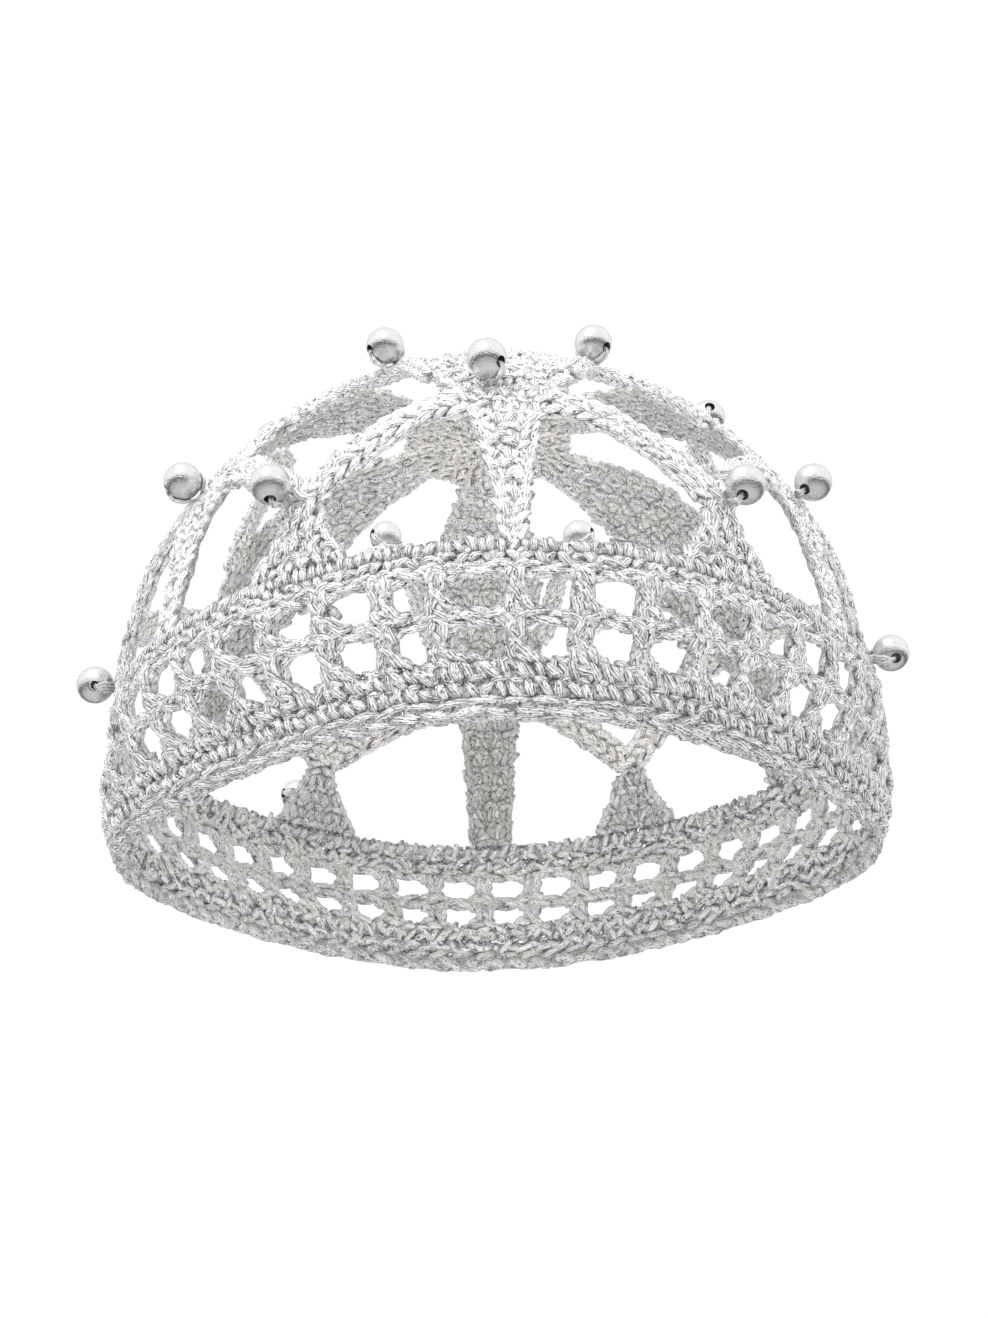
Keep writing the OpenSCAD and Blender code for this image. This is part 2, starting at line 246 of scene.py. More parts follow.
def sweep(centres, normals, half_w, half_t, sides, tone, offset, groove=0.0):
    """Tubes along rows of centre points: each ring is an ellipse square to the path, with
    its width across the normal. The groove draws in every other corner, and the plies that
    this makes turn slowly along the strand. The yarn's coordinates are the place round the
    strand, turned by its twist, and the length along it."""
    n, rings, _ = centres.shape
    along = unit(np.gradient(centres, axis=1))
    across = unit(np.cross(along, normals))
    out = np.cross(across, along)
    turn = 2 * np.pi * np.arange(sides) / sides
    step = np.linalg.norm(np.diff(centres, axis=1), axis=2)
    length = np.concatenate([np.zeros((n, 1)), np.cumsum(step, 1)], 1)[..., None]
    reach = 1 - groove * (np.arange(sides) % 2)
    lay = turn + (SLOW_TWIST * length if groove else 0)
    cos, sin = (reach * np.cos(lay))[..., None], (reach * np.sin(lay))[..., None]
    points = (centres[:, :, None]
              + half_w[:, :, None, None] * cos * across[:, :, None]
              + half_t[:, :, None, None] * sin * out[:, :, None])
    angle = turn + TWIST * length
    widest = half_w.max(1)[:, None, None]
    yarn = np.stack([np.cos(angle) * widest, np.sin(angle) * widest,
                     np.broadcast_to(length + offset[:, None, None], angle.shape)], -1)
    tones = np.broadcast_to(tone[:, :, None], (n, rings, sides, 3))
    return part_of(points, yarn, tones, tube_faces(n, rings, sides))


def bights(rng, control, normal, half, thin, flat, grade, inner, shade, ends):
    """Strands on cubic Bezier curves, the four control points weighted by the Bernstein terms.
    They are thin at their ends and darkened there by painted shade, and each has its own random
    tone and start on the yarn."""
    sides, ridge, steps = GRADES[grade]
    t = steps[None, :, None]
    p = control[:, :, None]
    centres = ((1 - t) ** 3 * p[:, 0] + 3 * t * (1 - t) ** 2 * p[:, 1]
               + 3 * t**2 * (1 - t) * p[:, 2] + t**3 * p[:, 3])
    middle = np.sin(np.pi * steps)
    half_w = half[:, None] * (thin + (1 - thin) * middle ** FILLING)
    tone = tone_rows(rng.random(len(half)), inner, shade + ends * (1 - middle) ** 2)
    return sweep(centres, np.broadcast_to(normal, centres.shape), half_w, half_w * flat,
                 sides, tone, rng.random(len(half)) * YARN_RUN, GROOVE * ridge)


def grade_of(out, reach):
    """Grade of the strands of a row: plainer inside, longer ones with more steps."""
    return "inner" if out < 0 else "long" if reach > LONG_REACH else "short"


def tone_rows(chance, inner, painted_shade):
    """Tone for each ring of each strand: its random tone, how much of the inner face's painted
    shade tint it takes, and its painted shade, which stands for the shade deep in the fabric."""
    rows = (chance[:, None], np.asarray(inner, float)[:, None], painted_shade)
    return np.stack([np.broadcast_to(v, (len(chance), painted_shade.shape[-1])) for v in rows], -1)


def lobes(rng, at, width, out, bow=0.0, grade="short", loose=1.0, shade=0.0, ends=END_SHADE,
          inner=1.0, place=on_dome):
    """Lens-shaped bights of yarn. at holds, for each, a base, the middle x and s, and the run dx
    and ds; place turns base, x, s and out into points. The ends dive towards the middle of the
    fabric, and the middle bows sideways. loose scales the random spread, shade is painted shade
    over the whole stitch, ends is how much painted shade darkens the ends, and inner how much of
    the painted shade tint the inner face takes."""
    base, x, s, dx, ds, width, out, bow = (
        v.reshape(-1).astype(float) for v in np.broadcast_arrays(*at, width, out, bow))
    slack = {key: rng.normal(0, spread * (1 if key == "width" else loose), x.size)
             for key, spread in SPREAD.items()}
    cos, sin = np.cos(slack["swing"]), np.sin(slack["swing"])
    dx, ds = ((dx * cos - ds * sin) * (1 + slack["stretch"]),
              (dx * sin + ds * cos) * (1 + slack["stretch"]))
    aside = (bow + slack["bow"]) / (np.hypot(dx, ds) + TINY)
    out = out + slack["out"]
    inside = out < 0
    share = np.where(inside, INNER_SHARE, 1)[:, None]
    sink = DIVE * np.where(inside, -INNER_SHARE, 1)
    base, x, s, out, sink, px, ps, dx, ds = (
        v[:, None] for v in (base, x + slack["x"], s + slack["s"], out, sink, -ds * aside,
                             dx * aside, dx, ds))
    control = place(base + 0 * ALONG, x + dx * ALONG + px * BOWED,
                    s + ds * ALONG + ps * BOWED, out + sink * RAISED)
    normal = place(base, x, s, out + 1.0) - place(base, x, s, out)
    return bights(rng, control, normal, width * (1 + slack["width"]) / 2, THIN_END, FLATNESS,
                  grade, inner * inside, np.reshape(shade, (-1, 1)), ends * share)


def backing(points, x, out, s, shade, faces):
    """Thin backing behind the stitches, in one even tone, darkened by shade as painted shade
    between them. The side where out is below zero is its inner face, with the inner face's
    painted shade tint."""
    tone = np.stack([np.full(out.shape, BACKING_CHANCE), out < 0,
                     np.full(out.shape, shade)], -1)
    return part_of(points, np.stack([x, out, s], -1), tone, faces)


def sheet_backing(az, half, s, half_t, shade):
    """Flat backing: at each length s up the fabric a closed loop of points, from one half
    width to the other on the outer face and back on the inner one."""
    x = half[:, None] * np.linspace(1, -1, BACKING_COLUMNS)
    x = np.concatenate([x, x[:, ::-1]], 1)
    s = np.broadcast_to(s[:, None], x.shape)
    out = np.broadcast_to(np.repeat([half_t, -half_t], BACKING_COLUMNS), x.shape)
    return backing(on_dome(az, x, s, out), x, out, s, shade, tube_faces(1, *x.shape))


def ring_backing(heights, half_t, shade, steps=168):
    """Backing all round the dome: a loop up the heights on the outer face and back down on
    the inner one, carried round in even steps."""
    k = 2 * len(heights)
    az, s = np.meshgrid(np.arange(steps) * 360 / steps,
                        np.concatenate([heights, heights[::-1]]), indexing="ij")
    out = np.broadcast_to(np.repeat([half_t, -half_t], len(heights)), s.shape)
    here, ring = np.arange(steps)[:, None], np.arange(k)
    ahead, after = (here + 1) % steps, (ring + 1) % k
    corners = ((here, ring), (ahead, ring), (ahead, after), (here, after))
    quads = np.stack([(i * k + j).ravel() for i, j in corners], 1)
    return backing(dome(az, level_of(s), out), az * BAND_DEGREE, out, s, shade, [quads])


def linked(name, data):
    """New object in the scene."""
    piece = bpy.data.objects.new(name, data)
    bpy.context.scene.collection.objects.link(piece)
    return piece


def make_mesh(name, parts, material, replaced=()):
    """One joined mesh in metres from parts that hold points, faces and point attributes."""
    joined = {key: np.concatenate([p[key] for p in parts])
              for key in ("points", "yarn", "tone")}
    counts = np.array([len(p["points"]) for p in parts])
    faces = [f + o for p, o in zip(parts, np.cumsum(counts) - counts) for f in p["faces"]]
    loops = np.concatenate([f.ravel() for f in faces]).astype(np.int32)
    sizes = np.concatenate([np.full(len(f), f.shape[1]) for f in faces])
    starts = (np.cumsum(sizes) - sizes).astype(np.int32)
    mesh = bpy.data.meshes.new(name)
    mesh.vertices.add(counts.sum())
    mesh.vertices.foreach_set("co", (joined["points"] * MM).astype(np.float32).ravel())
    mesh.loops.add(len(loops))
    mesh.loops.foreach_set("vertex_index", loops)
    mesh.polygons.add(len(sizes))
    mesh.polygons.foreach_set("loop_start", starts)
    mesh.polygons.foreach_set("use_smooth", np.ones(len(sizes), bool))
    for key in ("yarn", "tone"):
        layer = mesh.attributes.new(key, "FLOAT_VECTOR", "POINT").data
        layer.foreach_set("vector", joined[key].astype(np.float32).ravel())
    mesh.update(calc_edges=True)
    mesh.validate()
    mesh.materials.append(material)
    piece = linked(name, mesh)
    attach(piece, BODY)
    if replaced:
        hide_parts(*replaced)
    return piece


# Materials

def put(tree, socket, value):
    """Links another node's output to a socket, or sets the socket to a number or colour."""
    if isinstance(value, bpy.types.NodeSocket):
        tree.links.new(value, socket)
    else:
        socket.default_value = value


def feed(tree, inputs, **values):
    """Links or sets inputs by name."""
    for key, value in values.items():
        put(tree, inputs[key.replace("_", " ")], value)


def node_of(tree, kind, **values):
    """New shader node with its properties and inputs set or linked by name."""
    node = tree.nodes.new("ShaderNode" + kind)
    for key, value in values.items():
        if hasattr(node, key):
            setattr(node, key, value)
        else:
            feed(tree, node.inputs, **{key: value})
    return node


def output_of(tree, kind, *inputs, **values):
    """First output of a new node, with its first inputs given in their order."""
    node = node_of(tree, kind, **values)
    for socket, value in zip(node.inputs, inputs):
        put(tree, socket, value)
    return node.outputs[0]


def number(tree, operation, *inputs):
    """Result of an operation on numbers."""
    return output_of(tree, "Math", *inputs, operation=operation)


def remap(tree, *inputs, **values):
    """A value, the two ends of its range, and the two that they are carried to."""
    return output_of(tree, "MapRange", *inputs, **values)


def noise(tree, place, **values):
    """Noise at a place."""
    return output_of(tree, "TexNoise", Vector=place, **values)


def mix(tree, kind, factor, a, b, **values):
    """Numbers or colours a and b mixed by a factor."""
    return node_of(tree, "Mix", data_type=kind, Factor=factor, A=a, B=b,
                   **values).outputs["Result"]


def scaled(tree, vector, share):
    """Vector or colour times a number."""
    return output_of(tree, "VectorMath", vector, operation="SCALE", Scale=share)


def split(tree, value, kind="XYZ"):
    """The three parts of a vector or a colour."""
    node = node_of(tree, "Separate" + kind)
    put(tree, node.inputs[0], value)
    return node.outputs[:3]


# Plies round a strand, and how far they wander
PLIES = 9
PLY_WANDER = 6.0
# The yarn's coordinates are pressed together along the strand, for streaks and for flakes
STREAK_PRESS = (1, 1, 0.14)
FLAKE_PRESS = (1, 1, 0.6)
# Colour of the painted dark glints: flakes of foil painted near black as dark reflections
DARK_GLINT = (0.06, 0.06, 0.065, 1)
GLINT_SHARE = 0.12


def ply_group():
    """Shared yarn effect: streaks of the fine plies along the strand, from a sine round it and
    noise drawn out along it, with painted shade between the plies; the strand's random tone, its
    painted shade and the inner face's painted shade tint; and flakes of foil, picked by their
    own random colour: brighter ones are painted glints, near black ones painted dark
    reflections, and some are mirror-like."""
    name = "yarn_plies"
    if name in bpy.data.node_groups:
        return bpy.data.node_groups[name]
    g = bpy.data.node_groups.new(name, "ShaderNodeTree")
    for way, kind, labels in (("INPUT", "Color", ("Light", "Dark", "Inside")),
                              ("INPUT", "Float", ("Speckle",)),
                              ("OUTPUT", "Color", ("Color",)),
                              ("OUTPUT", "Float", ("Roughness", "Metallic", "Height"))):
        for label in labels:
            g.interface.new_socket(label, in_out=way, socket_type="NodeSocket" + kind)
    given = g.nodes.new("NodeGroupInput").outputs
    result = g.nodes.new("NodeGroupOutput").inputs
    yarn, tone = (node_of(g, "Attribute", attribute_name=key).outputs["Vector"]
                  for key in ("yarn", "tone"))
    chance, inner, painted_shade = split(g, tone)
    x, y, _ = split(g, yarn)
    streaks, flakes = (output_of(g, "VectorMath", yarn, press, operation="MULTIPLY")
                       for press in (STREAK_PRESS, FLAKE_PRESS))
    bent = number(g, "MULTIPLY", noise(g, yarn, Scale=0.9, Detail=1.0), PLY_WANDER)
    phase = number(g, "MULTIPLY_ADD", number(g, "ARCTAN2", y, x), PLIES, bent)
    faint = number(g, "MULTIPLY", number(g, "SINE", phase), 0.55)
    streak = noise(g, streaks, Scale=2.6, Detail=2.0, Roughness=0.7)
    height = number(g, "MULTIPLY_ADD", streak, 5.0, faint)
    # Painted shade in the gaps between the plies, half as dark on the inner face
    low = mix(g, "RGBA", number(g, "MULTIPLY", inner, 0.5), given["Dark"], given["Light"])
    colour = mix(g, "RGBA", remap(g, height, 1.7, 2.6, 0, 1), low, given["Light"])
    # Painted shade tint on the inner face, warmer and darker where less light reaches
    inside_shaded = mix(g, "RGBA", inner, colour, given["Inside"], blend_type="MULTIPLY")
    # Random tone times painted shade: the colour falls to 0.4 where painted_shade is full
    shade = number(g, "MULTIPLY", remap(g, chance, 0, 1, 0.86, 1), remap(g, painted_shade, 0, 1, 1, 0.4))
    shaded = scaled(g, inside_shaded, shade)
    cells = node_of(g, "TexVoronoi", Vector=flakes, Scale=3.2).outputs["Color"]
    red, green, blue = split(g, cells, "Color")
    # Painted glints: flakes brightened by up to a quarter, the others dimmed a little
    lit = scaled(g, shaded, remap(g, blue, 0.84, 0.98, 0.96, 1.25))
    # Painted dark glints: a share of the flakes takes the near black colour, a painted
    # reflection
    dark = number(g, "LESS_THAN", red, given["Speckle"])
    glint = number(g, "LESS_THAN", green, GLINT_SHARE)
    feed(g, result, Color=mix(g, "RGBA", dark, lit, DARK_GLINT), Height=height,
         Roughness=remap(g, glint, 0, 1, 0.4, 0.16), Metallic=remap(g, glint, 0, 1, 0.38, 1))
    return g


def painted(name):
    """New material, its node tree and its shader's inputs."""
    m = bpy.data.materials.new(name)
    m.use_nodes = True
    return m, m.node_tree, m.node_tree.nodes["Principled BSDF"].inputs


def yarn_material(name, light, dark, inside, dark_glint_share):
    """Metallic crochet yarn: the shared plies feed colour, gloss and relief."""
    m, tree, shader = painted(name)
    plies = node_of(tree, "Group", node_tree=ply_group())
    feed(tree, plies.inputs, Light=(*light, 1), Dark=(*dark, 1), Inside=(*inside, 1),
         Speckle=dark_glint_share)
    relief = output_of(tree, "Bump", Strength=1.0, Distance=0.00008,
                       Height=plies.outputs["Height"])
    feed(tree, shader, Normal=relief, Base_Color=plies.outputs["Color"],
         Roughness=plies.outputs["Roughness"], Metallic=plies.outputs["Metallic"])
    return m


def bead_material(name, colour):
    """Plated bead: mirror metal, slightly frosted and duller in patches, with a fine
    grain."""
    m, tree, shader = painted(name)
    place = node_of(tree, "TexCoord").outputs["Object"]
    cloud = noise(tree, place, Scale=500.0, Detail=4.0)
    grain = noise(tree, place, Scale=2600.0, Detail=3.0)
    dull = [share * 0.86 for share in colour]
    feed(tree, shader, Metallic=1.0, Roughness=remap(tree, cloud, 0.35, 0.65, 0.06, 0.2),
         Base_Color=mix(tree, "RGBA", cloud, (*colour, 1), (*dull, 1)),
         Normal=output_of(tree, "Bump", Strength=0.9, Distance=0.00012,
                          Height=grain))
    return m


def material(kind):
    """The named material, made on first use from the colours in the panel."""
    if kind in bpy.data.materials:
        return bpy.data.materials[kind]
    look = bpy.context.scene.cap_look
    if kind == "silver_bead":
        return bead_material(kind, tuple(look.bead))
    # Painted light: the upper pieces and the ties use lit copies of the yarn, with brighter
    # colours
    light, dark = {"lit_upper_silver_yarn": (look.lit_upper_light, look.lit_upper_dark),
                   "lit_tie_yarn": (look.lit_upper_light, look.light)}.get(
                       kind, (look.light, look.dark))
    return yarn_material(kind, light, dark, look.inside, look.dark_glint_share)


# Stitch charts. Columns: stitches in a round, middle x from a post and s, run dx and ds,
# width, out, bow, all in millimetres. out is above the middle of the fabric outside, and
# below it inside.
EDGING_CHART = np.array([
    [84, 0, 3.05, 7.4, 1.2, 2.1, 0.75, 0.35], [84, 3.1, 1.5, 7.4, -1, 2.1, 0.75, -0.3],
    [84, 1.4, 0.75, 7.4, 0.4, 2.2, 0.1, -0.1], [84, 0.6, 3.1, 6.4, -1.4, 2.4, -0.65, 0.3],
    [84, 3.8, 1.4, 6, 1.3, 2.6, -0.65, -0.4], [84, 1.8, 0.9, 6.4, -0.6, 2.2, -0.3, -0.2],
])
FOOT_CHART = np.array([
    [96, 1, 4.8, 3.6, 0.6, 1.7, 0.1, 0], [96, -1.5, 6.4, 3.6, 0.6, 1.7, 0.1, 0],
    [182, 0, 5.7, -1.9, 2.7, 2, 0.95, 0.2], [126, 0.6, 7.5, 3.4, 0.4, 1.7, 0.45, 0.1],
    [126, 0, 8.8, 3.6, -0.3, 1.7, 0.05, 0], [126, 0.5, 10.4, 3.6, 0.3, 1.7, 0.05, 0],
    [231, 0, 9.6, -2.2, 3.8, 1.9, 0.8, 0.15], [84, 1, 9.4, -3.4, 2.6, 1.9, 1.15, 0.3],
    [126, 0.6, 11.4, 3.2, -0.9, 1.7, 0.35, 0.2], [96, 0.5, 5.4, -3.6, 2.2, 1.9, -0.8, 0.2],
    [96, 3, 5.5, 3.4, 2.4, 1.9, -0.75, -0.2], [126, 0, 8.5, 3.2, 3.4, 1.9, -0.8, 0.2],
    [126, 2, 8.6, -3, 3.2, 1.9, -0.75, -0.2], [126, 0.3, 10.7, -3.8, -1.2, 1.9, -0.8, 0.1],
])
CHAIN_CHART = np.array([
    [84, 3.1, 0.35, 6.8, 1.4, 1.9, 0.6, 0.4], [84, 0, -0.4, 6.8, -0.8, 1.9, 0.6, -0.4],
    [42, 0.9, 0.2, 3.4, 2, 1.9, 1.05, 0.2], [42, -0.9, -0.3, 3.4, -1.7, 1.9, 1, 0.2],
    [84, 1.5, 0.5, 6.8, -1.1, 2.2, -0.55, 0.35], [84, 4.6, -0.5, 6.8, 1.1, 2.2, -0.55, -0.35],
])
HEAD_CHART = np.array([
    [126, 0.2, 29.3, 3.6, 0.4, 1.7, 0.1, 0], [126, 0.9, 31.7, 3.6, -0.4, 1.7, 0.1, 0],
    [112, 0, 30.4, -2.1, 2.7, 2.1, 0.95, 0.2], [112, 2.5, 30.8, 2.5, 1.8, 1.9, 0.8, 0.1],
    [112, 1, 32.2, 3, 0.9, 1.6, 0.4, 0.1], [126, 0.2, 33.9, 3.6, 0.3, 1.7, 0.1, 0],
    [266, 0, 34, -0.5, 3.6, 1.9, 0.8, 0], [168, 0.4, 35.2, 2.4, 0.5, 1.6, 0.1, 0.1],
    [126, 0.5, 30.5, -3, 2.6, 1.9, -0.78, 0.2], [126, 2.6, 30.6, 3, 2.6, 1.9, -0.74, -0.2],
    [126, 0.3, 32.4, -3.8, -0.6, 1.8, -0.8, 0.1], [210, 0, 34, -1.8, 3.3, 1.9, -0.76, 0.1],
])
# Height that the head chart ends at
HEAD_END = 35.9
# One post: middle x and v, run dx and dv, width, out, bow; v is in a cell 8.5 high
POST_CHART = np.array([
    [0, 4.2, 0.3, 8.4, 2.7, -0.1, 0.1], [-0.95, 7.3, 0.5, 3.9, 2.5, 0.85, 0.05],
    [1.05, 7.2, -0.6, 3.9, 2.5, 0.9, -0.05], [0.05, 7.2, 0.2, 3.6, 1.9, 0.7, 0],
    [-0.7, 5.4, 2, -2.4, 2.1, 1, 0.15], [0.8, 5.2, -1.6, -2.8, 2, 0.7, -0.2],
    [0.2, 4, 2.8, -2.2, 2.1, 0.95, 0.2], [-0.6, 3.5, -0.9, -2.8, 2, 0.8, 0.1],
    [1.6, 2.3, 3.4, -2.6, 2.3, 0.95, 0.5], [-1.1, 2, 1.2, -3, 2.2, 0.8, -0.2],
    [0.5, 2.2, 2, -2.6, 2.1, 0.7, 0.2], [3, 1, 3.6, -1.5, 2.1, 0.6, 0.5],
    [-2.4, 1, 3.4, 2.1, 2, 0.5, -0.6], [0.8, 0.8, 3.4, -1.2, 2, 0.85, 0.1],
    [2.7, 7.5, 3.6, 1.9, 2, 0.3, -0.8], [-2.7, 7.4, 3.6, -2, 2, 0.3, 0.8],
    [2.8, 1.1, 3.6, -2, 2, 0.1, 0.7], [-1.2, 5.4, 0.7, 6.6, 2.4, -0.6, 0.1],
    [1.2, 5.4, -0.7, 6.6, 2.4, -0.6, -0.1], [2.6, 1.3, 3.4, -2.2, 2.3, -0.5, 0.8],
    [2.6, 7.4, 3.2, 2, 2.2, -0.5, -0.7], [-2.6, 7.4, 3.2, -2, 2.2, -0.5, 0.7],
    [0, 3.4, -3, -3.4, 2.1, -0.95, 0], [-1.6, 1.6, -4.6, -2.4, 2.3, -0.75, 0.7],
    [1.8, 1, 3.8, -1, 2.1, -0.7, 0.1],
])
CELL_HIGH = 8.5
# Height up to which a row counts as low in the fabric, run up to which a stitch may be
# crossed, and how much looser the inner rows and the posts are
LOW_OUT = 0.3
SHORT_RUN = 3.3
LOOSER = 1.5


def post_azimuths():
    """Azimuths of the posts, one of which stands a little aside."""
    az = np.arange(POSTS) * POST_STEP
    az[STRAY_POST] -= STRAY
    return az


def rounds(chart, rng, shift=0.0, loose=1.0, shade=(0.0, LOW_SHADE, 0.0), crossed=0.0):
    """Whole rounds of stitches from a chart, moved up by shift, outside ones finer than inside
    ones. shade holds the painted shade of the outer, low and inner rows, and crossed is the
    share of short stitches that lean the other way."""
    made = []
    for count, x, s, dx, ds, width, out, bow in chart:
        az = np.arange(int(count)) * 360 / count
        turned = np.where(rng.random(az.size) < crossed * (abs(dx) < SHORT_RUN), -1, 1)
        made.append(lobes(rng, (az, x, s + shift, dx * turned, ds), width, out, bow,
                          grade_of(out, math.hypot(dx, ds)),
                          loose if out > 0 else LOOSER * loose,
                          shade[1] if abs(out) < LOW_OUT else shade[0 if out > 0 else 2]))
    return made


def posts(rng, foot, head):
    """All posts between two lengths up the fabric, each from the post chart."""
    scale = (head - foot) / CELL_HIGH
    return [lobes(rng, (post_azimuths(), x, foot + v * scale, dx, dv * scale), width, out,
                  bow, grade_of(out, math.hypot(dx, dv)), LOOSER)
            for x, v, dx, dv, width, out, bow in POST_CHART]


# Flat pieces: peaks and petals

# Width of their yarn, height of the stitches on a face, room to the edge for these and for
# the chain along it, and pitch, half length and lean of that chain
FLAT_YARN = 2.0
FACE_OUT = 0.84
FACE_ROOM = 1.1
EDGE_ROOM = 0.75
EDGE_PITCH = 3.4
EDGE_HALF = 2.2
EDGE_LEAN = 1.3
# Distance, length and height of the stitches of an upright braid
BRAID_STEP = 2.6
BRAID_RUN = 4.0
BRAID_OUT = 1.3


def petal_half(i, s):
    """Half width of petal i: its outline, with a broad foot that fades towards the head."""
    level = level_of(s)
    extra = PETALS[i, 1] - PETAL_OUTLINE[0, 1]
    fade = np.clip((PETAL_WIDE - level) / (PETAL_WIDE - PETAL_OUTLINE[0, 0]), 0, None)
    return np.interp(level, PETAL_OUTLINE[:, 0], PETAL_OUTLINE[:, 1]) + extra * fade


def peak_half(s):
    """Half width of a peak at a length up the fabric."""
    return PEAK_FOOT * np.interp(level_of(s), PEAK_OUTLINE[:, 0], PEAK_OUTLINE[:, 1])


def filled(az, half_at, low, high, pitch, rise, lean, rng, hem=0.7, inner_foot_shade=0.7):
    """Flat piece: rows of V stitches on both faces, rise apart and with the stitches pitch
    apart, where neighbours lean apart and every other row lies flat; chain stitches along both
    edges; and a thin backing that keeps in from them by hem, with painted shade. The inner face
    is darkened by inner_foot_shade, painted shade at its foot that fades to none at its head,
    and takes the inner face's painted shade tint, full at the foot and half at the head."""
    made = []
    rows = np.arange(low + rise / 2, high, rise)
    for face, grade, loose, face_shade in ((1, "light", 2.4, 0), (-1, "inner", 1.7, inner_foot_shade)):
        x, s, dx, ds = [], [], [], []
        for j, row in enumerate(rows):
            half = half_at(row) - FACE_ROOM
            purl = (j + (face < 0)) % 2
            n = max(1, int(round(2 * half / (pitch * (1.3 if purl or face < 0 else 1)))))
            k = np.arange(n)
            x.append((k + 0.5) / n * 2 * half - half)
            s.append(np.full(n, row))
            way = np.where((k + j // 2) % 2 == 0, 1, -1) * face
            dx.append(way * pitch * 1.35 if purl else lean * way)
            ds.append(np.full(n, rise * (0.6 if purl else 1.5)))
        x, s, dx, ds = (np.concatenate(v) for v in (x, s, dx, ds))
        fade = 1 - (s - low) / (high - low)
        made.append(lobes(rng, (az, x, s, dx, ds), FLAT_YARN, face * FACE_OUT, grade=grade,
                          loose=loose, shade=face_shade * fade, ends=0.22, inner=0.5 + 0.5 * fade))
    for side in (-1, 1):
        for face, grade, start, face_shade in ((1, "long", 0, 0), (-1, "inner", 1.6, inner_foot_shade)):
            at = np.arange(low + 1 + start, high - 0.5, EDGE_PITCH)
            foot, top = (side * (half_at(at + way) - EDGE_ROOM)
                         for way in (-EDGE_HALF, EDGE_HALF))
            run = top - foot + side * EDGE_LEAN
            made.append(lobes(rng, (az, (foot + top) / 2, at, run, 2 * EDGE_HALF), FLAT_YARN,
                              face * 0.55, side * 0.3, grade, 1.8,
                              face_shade * (1 - (at - low) / (high - low)), 0.3))
    s = np.arange(low + 0.4, high - 0.2, 2.4)
    return made + [sheet_backing(az, half_at(s) - hem, s, 0.6, 0.25)]


def braids(az, half_at, low, high, shares, rng):
    """Upright braids on the outer face: stitches one above the other, leaning to the left
    and right in turn, along lines at shares of the half width."""
    made = []
    for k, share in enumerate(shares):
        at = np.arange(low + BRAID_STEP / 2 * (k % 2), high, BRAID_STEP)
        lean = np.where(np.arange(at.size) % 2 == 0, 1, -1) * BRAID_STEP / 2
        # Painted shade at the ends of the stitches
        made.append(lobes(rng, (az, share * half_at(at), at, lean, BRAID_RUN), 2.1, BRAID_OUT,
                          0.2, loose=1.6, ends=0.35))
    return made


# Arches

# Lumps of a cord: share of its thickness, distance of one from the next
LUMP = 0.12
LUMP_PITCH = 4.2
# Points along an arch, and along its core
ARCH_STEPS = 81
CORE_STEPS = 40
# Bights of a round cord: turn and run from end to end, shares of the cord's size at the
# four control points, half width of the yarn, and how thin it starts
ROPE_TURN = math.radians(52)
ROPE_RUN = 3.0
ROPE_REACH = np.array([0.62, 1.16, 1.16, 0.62])
ROPE_YARN = 0.9
ROPE_THIN = 0.6
# Lower arch tracks: pitch, start, share across, run along and across, width, out, bow
LOWER_TRACKS = np.array([
    [4, 0, -0.66, 5.4, 2.2, 2.1, 0.95, -0.3], [4, 2, -0.22, 5.2, -2.2, 2.1, 1.3, 0.3],
    [3.5, 0, 0.26, 4.6, 2.1, 2.1, 1.35, -0.3], [3.5, 1.7, 0.64, 4.6, -1.9, 2, 1, 0.2],
    [4.2, 0, -0.84, 5.2, -0.6, 1.8, 0.02, -0.3], [3.6, 1, 0.84, 4.8, -0.7, 1.8, 0.02, 0.3],
    [4.4, 1, -0.58, 5.6, -1.8, 2.1, -1.05, 0.2], [3.2, 0.5, -0.05, 3.6, 2.2, 2.1, -1.25, 0],
    [3.6, 0.2, 0.6, 4.8, -1.6, 2.1, -1, 0.2],
])


def seat_azimuth(i, level, side):
    """Azimuth of the side of petal i at a level."""
    i = i % REPEATS
    az = PETALS[i, 0]
    return az + side * (petal_half(i, length_of(level)) + SEAT_GAP) / degree_mm(az, level)


class Path:
    """Middle line of an arch, with places on it given as length along, across and out."""

    def __init__(self, az, level, lift, width):
        self.centre = dome(az, level, lift)
        self.out = dome(az, level, lift + 1) - self.centre
        step = np.linalg.norm(np.diff(self.centre, axis=0), axis=1)
        self.length = np.concatenate([[0], np.cumsum(step)])
        self.up = unit(np.cross(self.out, unit(np.gradient(self.centre, axis=0))))
        self.width = width

    def at(self, rows, a):
        """Rows of vectors or numbers interpolated at lengths a."""
        if rows.ndim == 1:
            return np.interp(a, self.length, rows)
        return np.stack([np.interp(a, self.length, rows[:, k]) for k in range(3)], -1)

    def place(self, base, a, across, out):
        """Point at length a: the middle, moved across and out along the path's own axes.
        Past an end it goes straight on."""
        past = (a - np.clip(a, 0, self.length[-1]))[..., None]
        ahead = np.where(past < 0, unit(self.centre[1] - self.centre[0]),
                         unit(self.centre[-1] - self.centre[-2]))
        return (self.at(self.centre, a) + past * ahead
                + across[..., None] * self.at(self.up, a)
                + out[..., None] * self.at(self.out, a))


